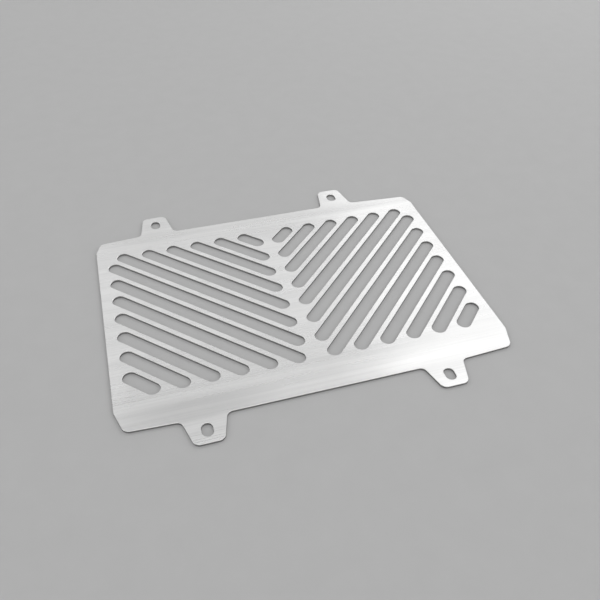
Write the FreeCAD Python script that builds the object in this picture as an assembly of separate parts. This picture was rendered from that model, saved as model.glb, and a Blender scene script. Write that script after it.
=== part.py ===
import FreeCAD, Part
import math
import os

from FreeCAD import Vector

# Motorcycle radiator guard: one flat plate, cut from stainless sheet and brushed on the front.
# It lies on its back face, z = 0, with the front face up.
# X runs across the motorcycle, and +Y is the upper edge when the guard is fitted.
# The origin is the middle of the outline's box. Lengths are in millimetres, angles in degrees.

# Sheet
sheet_thickness = 1.5
edge_break = 0.2            # cut edges of the front face, softened by the brushing

# Body of the plate
plate_width = 243.0
body_height = 177.0         # between the straight stretches of the upper and lower edges
corner_radius = 4.8

# Shoulders: outside its tabs each long edge slopes in towards the side, down to a cut-off corner
upper_shoulder_slope = 4.0
lower_shoulder_slope = 3.0
upper_corner_width = 3.6
upper_corner_depth = 12.0   # from the straight edge's line to the start of the side edge
lower_corner_width = 4.5
lower_corner_depth = 16.5

# Tabs that carry the plate: two on each long edge, narrower at the end than at the root
upper_tab_centres = (-76.6, 62.6)
upper_tab_height = 21.3
upper_tab_root = 24.2
upper_tab_end = 16.6
lower_tab_centres = (-73.6, 70.3)
lower_tab_height = 17.7
lower_tab_root = 25.8
lower_tab_end = 16.4
root_radius = 4.0
tab_radius = 4.3

# Bolt holes: oblong, so that the plate can be shifted up or down before it is tightened
hole_width = 6.4
hole_travel = 2.6           # between the centres of the two round ends
upper_hole_inset = 10.3     # from the end of the tab to the middle of the hole
lower_hole_inset = 8.8

# Grille: two fields of round-ended slots, one leaning each way, with a solid spine between them
slot_width = 9.0
bar_width = 3.3             # metal left between two slots
slot_angle = 45.0           # from the X axis
spine_width = 6.7
side_land = 7.0             # solid metal between the slots and the plate's edges
upper_land = 17.6
lower_land = 23.8
first_slot_rise = 11.6      # start of the lowest slot in its outer column, above the field's lowest row

# Lines that follow from the sizes
half_width = plate_width / 2
upper_tip = (lower_tab_height + body_height + upper_tab_height) / 2
lower_tip = -upper_tip
upper_edge = upper_tip - upper_tab_height
lower_edge = lower_tip + lower_tab_height


def tab_corners(centre, root, end, edge_y, tip_y):
    """Corners of one tab with their roundings, from its left root to its right one."""
    return [
        (centre - root / 2, edge_y, root_radius),
        (centre - end / 2, tip_y, tab_radius),
        (centre + end / 2, tip_y, tab_radius),
        (centre + root / 2, edge_y, root_radius),
    ]


def long_edge(edge_y, tip_y, centres, root, end, slope, corner_width, corner_depth):
    """Corners of the upper or the lower edge with their roundings, from left to right."""
    inward = -math.copysign(1, tip_y - edge_y)
    fall = inward * math.tan(math.radians(slope))
    shoulder_x = half_width - corner_width
    side_y = edge_y + inward * corner_depth
    left_run = shoulder_x + centres[0] - root / 2
    right_run = shoulder_x - centres[-1] - root / 2
    corners = [
        (-half_width, side_y, corner_radius),
        (-shoulder_x, edge_y + fall * left_run, corner_radius),
    ]
    for centre in centres:
        corners += tab_corners(centre, root, end, edge_y, tip_y)
    corners += [
        (shoulder_x, edge_y + fall * right_run, corner_radius),
        (half_width, side_y, corner_radius),
    ]
    return corners


def corner_arc(before, corner, after):
    """Start, middle and end of the arc that rounds a corner and is tangent to both its sides."""
    point = Vector(corner[0], corner[1], 0)
    radius = corner[2]
    back = (Vector(before[0], before[1], 0) - point).normalize()
    ahead = (Vector(after[0], after[1], 0) - point).normalize()
    half_angle = back.getAngle(ahead) / 2
    inset = radius / math.tan(half_angle)
    to_centre = (back + ahead).normalize()
    middle = point + to_centre * (radius / math.sin(half_angle) - radius)
    return point + back * inset, middle, point + ahead * inset


def rounded_face(corners):
    """Flat face inside the corners, each of them rounded."""
    count = len(corners)
    arcs = [corner_arc(corners[i - 1], corners[i], corners[(i + 1) % count]) for i in range(count)]
    edges = []
    for i, (start, middle, end) in enumerate(arcs):
        edges.append(Part.LineSegment(arcs[i - 1][-1], start).toShape())
        edges.append(Part.Arc(start, middle, end).toShape())
    return Part.Face(Part.Wire(edges))


def slot_face(start, end, width):
    """Flat face of a round-ended slot between its two end centres."""
    along = (end - start).normalize() * (width / 2)
    across = Vector(-along.y, along.x, 0)
    return Part.Face(Part.Wire([
        Part.LineSegment(start + across, end + across).toShape(),
        Part.Arc(end + across, end + along, end - across).toShape(),
        Part.LineSegment(end - across, start - across).toShape(),
        Part.Arc(start - across, start - along, start + across).toShape(),
    ]))


def grille_slots():
    """Slots of both fields. Their end centres keep inside one rectangle on each side of the spine."""
    radius = slot_width / 2
    outer = half_width - side_land - radius
    inner = spine_width / 2 + radius
    low = lower_edge + lower_land + radius
    high = upper_edge - upper_land - radius
    slope = math.tan(math.radians(slot_angle))
    step = (slot_width + bar_width) / math.cos(math.radians(slot_angle))
    slots = []
    outer_y = low + first_slot_rise
    inner_y = outer_y - slope * (outer - inner)
    while inner_y < high:
        start = Vector(outer, outer_y, 0)
        end = Vector(inner, inner_y, 0)
        if outer_y > high:
            start = Vector(inner + (high - inner_y) / slope, high, 0)
        if inner_y < low:
            end = Vector(outer - (outer_y - low) / slope, low, 0)
        if start.distanceToPoint(end) > radius:
            for side in (-1, 1):
                side_start = Vector(side * start.x, start.y, 0)
                side_end = Vector(side * end.x, end.y, 0)
                slots.append(slot_face(side_start, side_end, slot_width))
        outer_y += step
        inner_y += step
    return slots


def bolt_holes():
    """One oblong hole in each tab."""
    reach = Vector(0, hole_travel / 2, 0)
    rows = (
        (upper_tab_centres, upper_tip - upper_hole_inset),
        (lower_tab_centres, lower_tip + lower_hole_inset),
    )
    holes = []
    for centres, hole_y in rows:
        for centre in centres:
            middle = Vector(centre, hole_y, 0)
            holes.append(slot_face(middle - reach, middle + reach, hole_width))
    return holes


def soften_front(plate):
    """Small chamfer round the outline and every opening of the front face."""
    rims = [edge for edge in plate.Edges if edge.BoundBox.ZMin > sheet_thickness / 2]
    return plate.makeChamfer(edge_break, rims)


def guard_plate():
    """The whole guard: outline with its tabs, less the grille and the bolt holes."""
    lower = long_edge(
        lower_edge, lower_tip, lower_tab_centres, lower_tab_root, lower_tab_end,
        lower_shoulder_slope, lower_corner_width, lower_corner_depth,
    )
    upper = long_edge(
        upper_edge, upper_tip, upper_tab_centres, upper_tab_root, upper_tab_end,
        upper_shoulder_slope, upper_corner_width, upper_corner_depth,
    )
    through = Vector(0, 0, sheet_thickness)
    blank = rounded_face(lower + upper[::-1]).extrude(through)
    openings = [face.extrude(through) for face in grille_slots() + bolt_holes()]
    return soften_front(blank.cut(openings))


os.makedirs("parts", exist_ok=True)
plate = guard_plate()
plate.exportStep("parts/guard_plate.step")
box = plate.BoundBox
print("guard_plate", round(box.XLength, 2), "x", round(box.YLength, 2), "x", round(box.ZLength, 2), "mm")
print("volume", round(plate.Volume, 1), "mm3,", len(plate.Solids), "solid, valid:", plate.isValid())
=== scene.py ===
# %% [markdown]
# The object is a motorcycle radiator guard: one flat stainless sheet, 1.5 mm thick, with slanted
# round-ended slots cut through it and four tapered tabs for its bolts.
# It lies on its back, so its brushed front face looks up at the ceiling.
# The shape already exists as an exact CAD part, and this lesson gives it its looks: a steel with
# grain, cut walls and softened rims, a floor to lie on, soft lamps and a camera.
# A sheet part like this could be traced again in Blender, but every slot would then be a little
# off. Loading the exact mesh and never touching its points keeps the look and the size apart.
# Everything below is in metres, in the same frame as the CAD part: X runs along the plate, Y
# points to its upper edge, and Z points up, out of the brushed face.

import math

import bmesh
import bpy
from mathutils import Matrix, Vector


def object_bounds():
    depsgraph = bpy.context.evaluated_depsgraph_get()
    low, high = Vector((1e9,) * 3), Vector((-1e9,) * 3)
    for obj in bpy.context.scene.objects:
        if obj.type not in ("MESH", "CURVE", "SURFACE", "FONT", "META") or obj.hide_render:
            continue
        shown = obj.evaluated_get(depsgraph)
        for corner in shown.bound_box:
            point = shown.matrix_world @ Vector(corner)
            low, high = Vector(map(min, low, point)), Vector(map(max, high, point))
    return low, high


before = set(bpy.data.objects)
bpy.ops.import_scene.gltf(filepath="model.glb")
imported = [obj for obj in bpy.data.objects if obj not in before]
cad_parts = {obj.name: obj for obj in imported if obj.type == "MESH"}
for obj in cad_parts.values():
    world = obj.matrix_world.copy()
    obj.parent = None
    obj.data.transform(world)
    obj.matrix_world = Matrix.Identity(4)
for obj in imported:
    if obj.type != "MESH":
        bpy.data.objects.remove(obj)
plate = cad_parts["guard_plate"]
cad_low, cad_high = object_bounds()
plate_size = cad_high - cad_low

print("plate size in mm:", [round(1000 * side, 2) for side in plate_size])
print("faces in the exact mesh:", len(plate.data.polygons))

# %% [markdown]
# A picture of bare metal is mostly a picture of its lamps, so the tones must not be bent on the
# way to the screen. Blender's default view rolls bright tones off, as film does, which would turn
# the light end of the plate grey. The Standard view leaves a brightness where the lamps put it.

# %% Show colours as they are
scene = bpy.context.scene
scene.view_settings.view_transform = "Standard"
scene.view_settings.look = "None"
print("view:", scene.view_settings.view_transform)

# %% [markdown]
# Materials are graphs of small nodes. Building them in code needs three moves again and again:
# add a node, set its values, and join one socket to another.
# One helper does all three. A value that is a socket is joined, and anything else is typed in, so
# each later line reads as a sentence about the metal and not about the wiring.

# %% A helper for node graphs
def add_node(tree, kind, title, inputs=None, **settings):
    """Adds one node. Each input is either a plain value or the socket that feeds it."""
    node = tree.nodes.new("ShaderNode" + kind)
    node.label = title
    for key, value in settings.items():
        setattr(node, key, value)
    for key, value in (inputs or {}).items():
        if isinstance(value, bpy.types.NodeSocket):
            tree.links.new(value, node.inputs[key])
        else:
            node.inputs[key].default_value = value
    return node


def empty_material(name):
    """A material with nothing in it but a shader and its output."""
    material = bpy.data.materials.new(name)
    material.use_nodes = True
    tree = material.node_tree
    tree.nodes.clear()
    shader = add_node(tree, "BsdfPrincipled", "surface")
    add_node(tree, "OutputMaterial", "output", {"Surface": shader.outputs["BSDF"]})
    return material, tree, shader


steel, steel_tree, steel_shader = empty_material("brushed_stainless_sheet")
print("new material:", steel.name)

# %% [markdown]
# The sheet has four kinds of surface: the brushed front, the mill-finished back, the cut walls of
# the outline and openings, and the narrow rims where brushing has softened the front edges.
# They could be four materials, but that would mean marking faces on a mesh that must stay as it
# is. Each kind points its own way, so the height of the surface's normal tells them apart: 1 on
# the front, about 0.7 on a rim, 0 on a wall and -1 on the back.

# %% Tell the four surfaces apart
place = add_node(steel_tree, "TexCoord", "place on the plate")
facing = add_node(steel_tree, "SeparateXYZ", "which way it faces", {"Vector": place.outputs["Normal"]})


def share(tree, title, value, start, end, low=0.0, high=1.0, ease="LINEAR"):
    """Ramps a value from low at start to high at end, and holds it flat outside them."""
    ramp = add_node(tree, "MapRange", title, {
        "Value": value, "From Min": start, "From Max": end, "To Min": low, "To Max": high,
    }, interpolation_type=ease)
    return ramp.outputs["Result"]


up = facing.outputs["Z"]
is_back = share(steel_tree, "back face", up, -0.6, -0.9)
is_rim = share(steel_tree, "rim or front", up, 0.25, 0.5)
is_front = share(steel_tree, "front face", up, 0.8, 0.95)
print("surfaces told apart: wall, back, rim, front")

# %% [markdown]
# Sheet like this is brushed by an abrasive belt that runs along its length. Every grit leaves a
# scratch that is long along X and very thin along Y, and the scratches overlap in layers: hair
# lines, then streaks where a few grits cut deeper, then faint bands as wide as a finger.
# A scratch texture could be painted, but it would have an end and a resolution. Noise stretched
# along X gives the same layers at any distance, one call for each layer. The real sizes go in as
# metres, so the grain keeps its scale if the camera comes closer.

# %% Noise stretched along the grain
def grain_layer(tree, title, length, width, detail, seed):
    """Noise from -1 to 1 whose marks are about length long in X and width wide in Y, in metres."""
    stretched = add_node(tree, "Mapping", title + " scale", {
        "Vector": place.outputs["Object"],
        "Location": (seed, seed * 0.7, seed * 0.3),
        "Scale": (1 / length, 1 / width, 1 / width),
    }, vector_type="POINT")
    noise = add_node(tree, "TexNoise", title, {
        "Vector": stretched.outputs["Vector"], "Scale": 1.0, "Detail": detail, "Roughness": 0.6,
    })
    return share(tree, title + " evened", noise.outputs["Fac"], 0.3, 0.7, low=-1.0, high=1.0)


hair_width = 0.00025
streak_width = 0.0012
band_width = 0.010

hair_lines = grain_layer(
    steel_tree, "hair lines", length=0.060, width=hair_width, detail=2.0, seed=3.1,
)
streaks = grain_layer(
    steel_tree, "streaks", length=0.170, width=streak_width, detail=3.0, seed=8.4,
)
bands = grain_layer(
    steel_tree, "bands", length=0.60, width=band_width, detail=2.0, seed=5.2,
)
widths = (hair_width, streak_width, band_width)
print("widths of the grain in mm:", [round(1000 * width, 2) for width in widths])

# %% [markdown]
# The other surfaces are not brushed. The cutter leaves fine upright lines on the walls, because
# its beam or wheel goes straight down through the sheet. The back still has the soft mottling of
# the rolling mill. Both are noise again: stretched along Z for the walls, and left round, like
# small clouds, for the back. A second, larger cloud stands for the way in which hands and cloths
# leave the shine of any sheet a little uneven.

# %% Cutting lines and clouds
def cloud_layer(tree, title, scale, detail):
    """Noise from -1 to 1. The scale says how many marks fit in a metre of X, Y and Z."""
    stretched = add_node(tree, "Mapping", title + " scale", {
        "Vector": place.outputs["Object"], "Scale": scale,
    }, vector_type="POINT")
    noise = add_node(tree, "TexNoise", title, {
        "Vector": stretched.outputs["Vector"], "Scale": 1.0, "Detail": detail, "Roughness": 0.55,
    })
    return share(tree, title + " evened", noise.outputs["Fac"], 0.3, 0.7, low=-1.0, high=1.0)


# How many of each fit in a metre. Along its own length a cut changes far more slowly.
cuts = 2600.0
changes_along_a_cut = 180.0
mottles = 420.0
smears = 26.0

cut_lines = cloud_layer(steel_tree, "cutting lines", (cuts, cuts, changes_along_a_cut), detail=2.0)
mill_mottle = cloud_layer(steel_tree, "mill mottling", (mottles, mottles, mottles), detail=4.0)
handling = cloud_layer(steel_tree, "handling", (smears, smears, smears), detail=3.0)
print("cuts, mottles and smears in mm:", [round(1000 / count, 1) for count in (cuts, mottles, smears)])

# %% [markdown]
# Now the layers become numbers that the shader understands. Two small helpers keep this short:
# one adds up layers, each with its own weight, and one goes from surface to surface, starting
# from the wall and laying the back, the rim and the front over it by the shares found above.

# %% Adding layers and laying surfaces over each other
def weighted_sum(tree, title, start, *layers):
    """start plus each layer times its weight."""
    total = start
    for layer, weight in layers:
        step = add_node(tree, "Math", title, {0: layer, 1: weight, 2: total}, operation="MULTIPLY_ADD")
        total = step.outputs[0]
    return total


def over(tree, title, below, above, amount, kind="FLOAT"):
    """Lays one value over another: below where amount is 0, above where it is 1."""
    # The Mix node has two inputs and an output of its own for each kind of value
    slots = {"FLOAT": (2, 3, 0), "VECTOR": (4, 5, 1), "RGBA": (6, 7, 2)}[kind]
    mix = add_node(tree, "Mix", title, {0: amount, slots[0]: below, slots[1]: above}, data_type=kind)
    return mix.outputs[slots[2]]


def by_surface(tree, title, wall, back, rim, front, kind="FLOAT"):
    """One value for each kind of surface, chosen by which way the surface faces."""
    value = over(tree, title + ", back", wall, back, is_back, kind)
    value = over(tree, title + ", rim", value, rim, is_rim, kind)
    return over(tree, title + ", front", value, front, is_front, kind)


print("helpers ready: weighted_sum, over, by_surface")

# %% [markdown]
# The sheet's reflections of the lamps are not quite even. On the solid strips below and above the
# grille there are broad patches, about a hand long and a finger wide, that are a little darker or
# lighter than the rest. There is a lighter patch at the left side too, and the ends of the lower
# tabs and of one upper tab are lighter. These are painted reflection: they go into the colour.
# Random noise would put such marks anywhere. These have known places, so each is a soft spot
# with a middle, two half sizes and a strength. The streaks make each of them uneven.

# %% Painted reflections on the solid strips and tab ends
# Patches of painted reflection, each lighter or darker by its strength.
painted_reflection_patches = {
    # name: middle in X and Y, half length, half width, strength
    "painted dark reflection, lower left": (-0.076, -0.083, 0.062, 0.013, -0.33),
    "painted light reflection, lower right": (0.075, -0.083, 0.066, 0.011, 0.16),
    "painted light reflection, its start": (0.047, -0.086, 0.020, 0.009, 0.10),
    "painted dark reflection under the right slots": (0.036, -0.068, 0.058, 0.009, -0.15),
    "painted dark reflection, upper right": (0.064, 0.080, 0.046, 0.008, -0.18),
    "painted light reflection over the right slots": (0.094, 0.068, 0.052, 0.010, 0.18),
    "painted dark reflection, upper left": (-0.080, 0.083, 0.052, 0.010, -0.10),
    "painted light reflection, upper right tab end": (0.066, 0.105, 0.020, 0.012, 0.20),
    "painted dark reflection, upper left tab root": (-0.077, 0.094, 0.026, 0.011, -0.14),
    "painted light reflection, left side": (-0.121, -0.056, 0.014, 0.030, 0.16),
}
# The lower tab ends get painted reflection too: lighter over this reach from the edge.
tab_end_reach = 0.014
tab_end_reflection = 0.34
streakiness = 0.4


def painted_reflection_spot(tree, title, middle_x, middle_y, half_length, half_width):
    """A soft spot of painted reflection, 1 in its middle and 0 at its edge. Length is in X, width in Y, in
    metres.
    """
    spot = add_node(tree, "Mapping", title + " place", {
        "Vector": place.outputs["Object"],
        "Location": (middle_x, middle_y, 0.0),
        "Scale": (half_length, half_width, 1.0),
    }, vector_type="TEXTURE")
    reach = add_node(tree, "VectorMath", title + " reach", {0: spot.outputs["Vector"]}, operation="LENGTH")
    return share(tree, title, reach.outputs["Value"], 0.2, 1.0, low=1.0, high=0.0, ease="SMOOTHSTEP")


reflection_spots = [
    (painted_reflection_spot(steel_tree, name, x, y, half_length, half_width), strength)
    for name, (x, y, half_length, half_width, strength) in painted_reflection_patches.items()
]
# The lighter lower tab ends and all the patches add up to the front's painted reflection.
across = add_node(steel_tree, "SeparateXYZ", "place across the plate", {"Vector": place.outputs["Object"]})
painted_tab_end_light = share(steel_tree, "painted light, lower tab ends", across.outputs["Y"], cad_low.y + tab_end_reach, cad_low.y)
painted_reflections = add_node(steel_tree, "Math", "painted reflections, streaky", {
    0: weighted_sum(steel_tree, "all painted reflections", 0.0, (painted_tab_end_light, tab_end_reflection), *reflection_spots),
    1: weighted_sum(steel_tree, "streaky", 1.0, (streaks, streakiness)),
}, operation="MULTIPLY").outputs[0]
print("belt passes:", len(reflection_spots))

# %% [markdown]
# The colour of a metal is the tint of its reflections. Stainless is almost neutral and returns
# about three quarters of the light. Brushing makes it lighter or darker by only a few percent
# along each streak, which is all the eye needs to see a direction in it. The patches of painted
# reflection make it lighter or darker by about a seventh where they are strongest.
# The cut walls are darker: the cut leaves a thin oxide skin that nothing has polished off. The
# rims are the brightest, because the belt and the packing rub them most, and handling wears them
# unevenly. A ramp turns each sum of layers into a colour between a dark and a light steel.

# %% Colour
def steel_tone(title, amount, dark, light):
    """A colour between two steels, by an amount from 0 to 1."""
    return over(steel_tree, title, dark, light, amount, "RGBA")


# The darkest and the lightest steel of each surface
brushed = ((0.60, 0.60, 0.60, 1.0), (0.96, 0.96, 0.955, 1.0))
milled = ((0.60, 0.60, 0.60, 1.0), (0.74, 0.74, 0.735, 1.0))
rubbed = ((0.66, 0.66, 0.66, 1.0), (0.92, 0.92, 0.915, 1.0))
freshly_cut = ((0.30, 0.298, 0.295, 1.0), (0.52, 0.518, 0.515, 1.0))

# The front colour carries the grain and the patches of painted reflection.
front_tone = steel_tone(
    "front colour",
    weighted_sum(
        steel_tree, "front tone", 0.5,
        (hair_lines, 0.09), (streaks, 0.11), (bands, 0.20), (handling, 0.03), (painted_reflections, 1.0),
    ),
    *brushed,
)
back_tone = steel_tone(
    "back colour",
    weighted_sum(steel_tree, "back tone", 0.5, (mill_mottle, 0.25), (streaks, 0.15), (handling, 0.15)),
    *milled,
)
rim_tone = steel_tone(
    "rim colour",
    weighted_sum(steel_tree, "rim wear", 0.6, (handling, 0.3), (cut_lines, 0.15)),
    *rubbed,
)
wall_tone = steel_tone(
    "wall colour",
    weighted_sum(steel_tree, "wall tone", 0.5, (cut_lines, 0.30), (handling, 0.10)),
    *freshly_cut,
)
steel_colour = by_surface(steel_tree, "colour", wall_tone, back_tone, rim_tone, front_tone, "RGBA")
steel_tree.links.new(steel_colour, steel_shader.inputs["Base Color"])
steel_shader.inputs["Metallic"].default_value = 1.0
print("front reflects", brushed[0][0], "to", brushed[1][0], "of the light")
print("walls reflect", freshly_cut[0][0], "to", freshly_cut[1][0])

# %% [markdown]
# Roughness says how far a reflection spreads. A brushed face never shows a clear picture of the
# room, only a soft glow, so it is fairly rough, with slightly shinier and duller streaks. The
# walls are rough from cutting, the rims are the smoothest, and the back is even and satin.
# Every value moves a little with the same layers as the colour, so a streak has a dullness of its
# own as well as a tone, and the two stay in line.

# %% Roughness
mean_rough = {"front": 0.30, "back": 0.38, "rim": 0.26, "wall": 0.46}
front_rough = weighted_sum(
    steel_tree, "front roughness", mean_rough["front"],
    (streaks, 0.035), (bands, 0.02), (handling, 0.015),
)
back_rough = weighted_sum(
    steel_tree, "back roughness", mean_rough["back"], (mill_mottle, 0.05), (handling, 0.03),
)
rim_rough = weighted_sum(steel_tree, "rim roughness", mean_rough["rim"], (handling, 0.05))
wall_rough = weighted_sum(steel_tree, "wall roughness", mean_rough["wall"], (cut_lines, 0.08))
steel_rough = by_surface(steel_tree, "roughness", wall_rough, back_rough, rim_rough, front_rough)
steel_tree.links.new(steel_rough, steel_shader.inputs["Roughness"])
print("roughness before it varies:", mean_rough)

# %% [markdown]
# Brushed metal has one look that plain roughness can't give: a lamp's reflection is smeared
# across the scratches and stays narrow along them. The shader calls this anisotropy, and its
# tangent says which way the smear goes. On the front that is Y, across the grain. On a wall the
# cutting lines stand upright, so the smear runs level, along the wall.
# The level way is the cross product of the normal and Z. On the back, as on the front, the two
# are parallel and the product is zero, which would turn the metal black. So the back takes Y
# too: its rolling lines run along the sheet as the brushing does.

# %% Direction of the shine
level_way = add_node(steel_tree, "VectorMath", "level way along a wall", {
    0: place.outputs["Normal"], 1: (0.0, 0.0, 1.0),
}, operation="CROSS_PRODUCT")
is_flat = add_node(steel_tree, "Math", "front or back", {
    0: is_front, 1: is_back,
}, operation="MAXIMUM").outputs[0]
smear_way = over(
    steel_tree, "way of the smear", level_way.outputs["Vector"], (0.0, 1.0, 0.0), is_flat, "VECTOR",
)
steel_tree.links.new(smear_way, steel_shader.inputs["Tangent"])
steel_shader.inputs["Anisotropic"].default_value = 0.8
print("anisotropy:", round(steel_shader.inputs["Anisotropic"].default_value, 2))

# %% [markdown]
# Bump lets the grain catch the light as you move round it. Heights here count in steps of 0.004
# mm: scratches are 2 or 3 thousandths of a millimetre high, and cutting lines about a hundredth.
# No sheet is quite flat either, so a wide swell of 0.03 mm bends the long reflections a little.
# The Bump node only tilts the shading, so the plate's own points stay where they are.

# %% Relief
height_step = 0.000004
front_relief = weighted_sum(
    steel_tree, "front relief", 0.0, (hair_lines, 0.4), (streaks, 0.8), (handling, 8.0),
)
back_relief = weighted_sum(steel_tree, "back relief", 0.0, (mill_mottle, 1.2))
wall_relief = weighted_sum(steel_tree, "wall relief", 0.0, (cut_lines, 3.0))
steel_relief = by_surface(steel_tree, "relief", wall_relief, back_relief, 0.0, front_relief)
relief = add_node(steel_tree, "Bump", "relief", {
    "Height": steel_relief, "Distance": height_step, "Strength": 1.0,
})
steel_tree.links.new(relief.outputs["Normal"], steel_shader.inputs["Normal"])
print("step of the heights in mm:", 1000 * height_step)

# %% [markdown]
# The material goes into the slot that the plate already has. Slots hold materials and meshes hold
# points, so this swaps the finish and leaves the exact shape alone.

# %% Dress the plate
for slot in plate.material_slots:
    slot.material = steel
print("slots dressed:", len(plate.material_slots))

# %% [markdown]
# The plate lies on a plain pale floor. A flat sheet alone would end in a hard horizon when the
# camera comes down low, so a studio bends its floor up into the wall in one long curve.
# Such a sweep can be drawn as a profile and spun, or pulled up from a disc. The disc is shorter:
# a filled circle, its edge pulled straight up, and the corner between them rounded by one bevel.
# Its flat part lies under the plate's back face, a hair lower, because two faces at one height
# flicker.

# %% Floor that bends up into a wall
def studio_sweep(name, radius, wall_height, bend, floor_height):
    """A round floor with a low wall, joined by a wide bend. All lengths in metres."""
    shape = bmesh.new()
    disc = bmesh.ops.create_circle(shape, cap_ends=True, radius=radius, segments=96)
    rim = [edge for edge in shape.edges if edge.is_boundary]
    wall = bmesh.ops.extrude_edge_only(shape, edges=rim)["geom"]
    top = [part for part in wall if isinstance(part, bmesh.types.BMVert)]
    bmesh.ops.translate(shape, vec=(0.0, 0.0, wall_height), verts=top)
    corner = [edge for edge in shape.edges if all(vert in disc["verts"] for vert in edge.verts)]
    bmesh.ops.bevel(
        shape, geom=corner, offset=bend, segments=14, profile=0.5, affect="EDGES", material=-1,
    )
    bmesh.ops.translate(shape, vec=(0.0, 0.0, floor_height), verts=shape.verts)
    bmesh.ops.recalc_face_normals(shape, faces=shape.faces)
    if min(shape.faces, key=lambda face: face.calc_center_median().z).normal.z < 0:
        bmesh.ops.reverse_faces(shape, faces=shape.faces)
    for face in shape.faces:
        face.smooth = len(face.verts) == 4
    mesh = bpy.data.meshes.new(name)
    shape.to_mesh(mesh)
    shape.free()
    sweep = bpy.data.objects.new(name, mesh)
    scene.collection.objects.link(sweep)
    return sweep


floor_gap = 0.00005
floor = studio_sweep(
    "studio_floor", radius=5.0, wall_height=1.9, bend=1.6, floor_height=cad_low.z - floor_gap,
)
print("sweep faces:", len(floor.data.polygons))
print("sweep size in m:", [round(side, 3) for side in floor.dimensions])

# %% [markdown]
# Painted board is matt, with a very slight mottle from the roller. A completely even grey would
# look like no surface at all, so a soft cloud varies its colour by a hair.
# The lamps stand round the plate and shine inwards, so the board behind them would turn dark. A
# studio lights its wall with more lamps. Here painted light stands in for them: the paint gets
# lighter with distance from the plate and the wall glows a little, which costs no lamps and gives
# the metal a bright room to reflect.

# %% Floor finish and painted light
# Distances from the plate where each change starts or ends, and how strong the glow gets
painted_light_from = 0.9
full_painted_light_from = 3.8
glow_from = 1.8
full_glow_from = 3.4
full_glow = 0.12

board, board_tree, board_shader = empty_material("pale_board_and_painted_light")
place_on_board = add_node(board_tree, "TexCoord", "place on the board")
mottle = add_node(board_tree, "TexNoise", "roller mottle", {
    "Vector": place_on_board.outputs["Object"], "Scale": 60.0, "Detail": 6.0, "Roughness": 0.6,
})
near_colour = over(
    board_tree, "paint near the plate", (0.52, 0.52, 0.52, 1.0), (0.535, 0.535, 0.535, 1.0),
    share(board_tree, "mottle evened", mottle.outputs["Fac"], 0.3, 0.7), "RGBA",
)
way_out = add_node(board_tree, "VectorMath", "distance from the plate", {
    0: place_on_board.outputs["Object"],
}, operation="LENGTH")
# Painted light: the paint turns lighter out towards the wall, standing in for lamps that light it.
paint_with_painted_light = over(
    board_tree, "board colour with painted light", near_colour, (0.96, 0.96, 0.96, 1.0),
    share(board_tree, "painted light out to the wall", way_out.outputs["Value"], painted_light_from, full_painted_light_from), "RGBA",
)
board_tree.links.new(paint_with_painted_light, board_shader.inputs["Base Color"])
# More painted light: the wall glows a little, though it is no lamp.
wall_light = share(
    board_tree, "light on the wall", way_out.outputs["Value"], glow_from, full_glow_from, high=full_glow,
)
board_tree.links.new(wall_light, board_shader.inputs["Emission Strength"])
board_shader.inputs["Emission Color"].default_value = (1.0, 1.0, 1.0, 1.0)
board_shader.inputs["Roughness"].default_value = 0.85
board_shader.inputs["Specular IOR Level"].default_value = 0.2
floor.data.materials.append(board)
print("floor finish:", board.name)

# %% [markdown]
# Flat metal shows whatever lies in the mirror direction, so lamps are placed by where the camera
# finds their reflections, not by where they would cast nice shadows. Soft boxes are right here:
# a large even panel gives a large even reflection.
# Two stand behind the plate and make the tones that the camera sees. The long one gives the calm
# mid tone of the left side. The right one is nearer and turned on its corner, and adds to the
# first so that the tone climbs to nearly white at the right end. The other five ring the plate:
# they hardly reach the camera, but from above, behind or beside, one of them is what the metal
# reflects.
# Each box is described as a photographer would: which way it lies from the plate, how high, how
# far, how large, how bright its surface looks, and how far it is turned in its own plane. Blender
# wants watts, and a flat panel of area A that looks as bright as B sends out B times pi times A.

# %% Soft boxes
def soft_box(name, azimuth, elevation, distance, width, height, brightness, turn):
    """A rectangular lamp that faces the plate. Azimuth goes from +X towards +Y; angles in degrees."""
    flat = math.radians(azimuth)
    rise = math.radians(elevation)
    way = Vector((math.cos(flat) * math.cos(rise), math.sin(flat) * math.cos(rise), math.sin(rise)))
    lamp = bpy.data.lights.new(name, "AREA")
    lamp.shape = "RECTANGLE"
    lamp.size = width
    lamp.size_y = height
    lamp.energy = brightness * math.pi * width * height
    box = bpy.data.objects.new(name, lamp)
    box.location = way * distance
    level = way.to_track_quat("Z", "Y").to_matrix()
    box.rotation_euler = (level @ Matrix.Rotation(math.radians(turn), 3, "Z")).to_euler()
    scene.collection.objects.link(box)
    print(name, "watts:", round(lamp.energy, 2))


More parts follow.
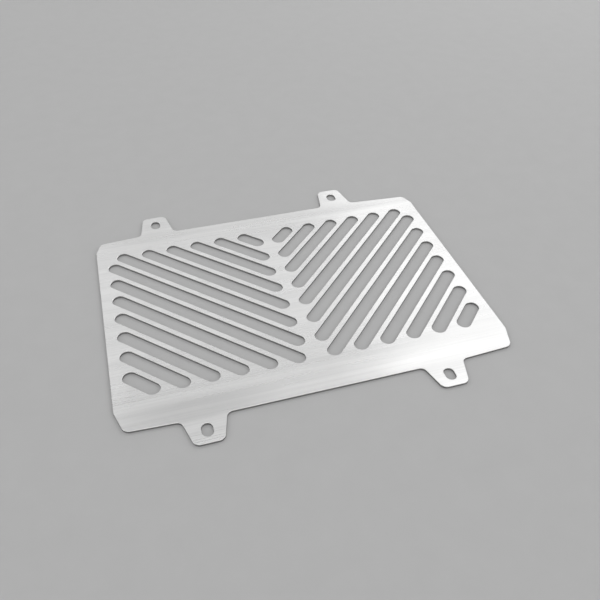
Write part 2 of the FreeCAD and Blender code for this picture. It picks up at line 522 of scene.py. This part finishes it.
soft_boxes = {
    # name: azimuth, elevation, distance, width, height, brightness, turn
    "long_soft_box": (60, 41.3, 1.8, 4.2, 0.67, 1.07, 12),
    "right_soft_box": (40, 33, 1.2, 0.89, 2.0, 0.407, 42),
    "overhead_soft_box": (250, 82, 1.6, 1.6, 1.2, 0.55, 0),
    "front_soft_box": (268, 30, 2.2, 3.6, 1.5, 0.62, 0),
    "left_soft_box": (182, 30, 2.2, 2.4, 1.5, 0.50, 0),
    "back_left_soft_box": (132, 28, 2.2, 1.8, 1.5, 0.50, 0),
    "front_right_soft_box": (336, 30, 2.2, 2.4, 1.5, 0.50, 0),
}
for name, settings in soft_boxes.items():
    soft_box(name, *settings)

# %% [markdown]
# A room is never black. The world's even grey stands for white walls all round: it lifts the
# shadows, and gives the metal something to reflect from any other side.

# %% Room light
world = bpy.data.worlds.new("studio_room")
scene.world = world
world.use_nodes = True
room = world.node_tree.nodes["Background"]
room.inputs["Color"].default_value = (1.0, 1.0, 1.0, 1.0)
room.inputs["Strength"].default_value = 0.32
print("room brightness:", round(room.inputs["Strength"].default_value, 2))

# %% [markdown]
# The camera stands in front of the plate and a little to its left, and looks down at about 42
# degrees. Its place could be typed in as three coordinates, but an aim point, two angles and a
# distance are easier to read and to change. A lens of 39 mm on a 36 mm sensor gives the
# foreshortening of a camera that is under half a metre away. The last half degree is roll: the
# camera was not held quite level.

# %% Camera
aim = Vector((0.00406, -0.01282, 0.0015))
camera_azimuth = math.radians(-16.886)
camera_elevation = math.radians(41.924)
camera_distance = 0.43054
camera_roll = math.radians(0.563)

backwards = Vector((
    math.sin(camera_azimuth) * math.cos(camera_elevation),
    -math.cos(camera_azimuth) * math.cos(camera_elevation),
    math.sin(camera_elevation),
))
lens = bpy.data.cameras.new("studio_camera")
lens.sensor_width = 36.0
lens.lens = 39.195
lens.clip_start = 0.01
lens.clip_end = 50.0
camera = bpy.data.objects.new("studio_camera", lens)
scene.collection.objects.link(camera)
upright = backwards.to_track_quat("Z", "Y").to_matrix()
camera.rotation_euler = (upright @ Matrix.Rotation(camera_roll, 3, "Z")).to_euler()
camera.location = aim + backwards * camera_distance
scene.camera = camera
print("camera at, in mm:", [round(1000 * c, 1) for c in camera.location])
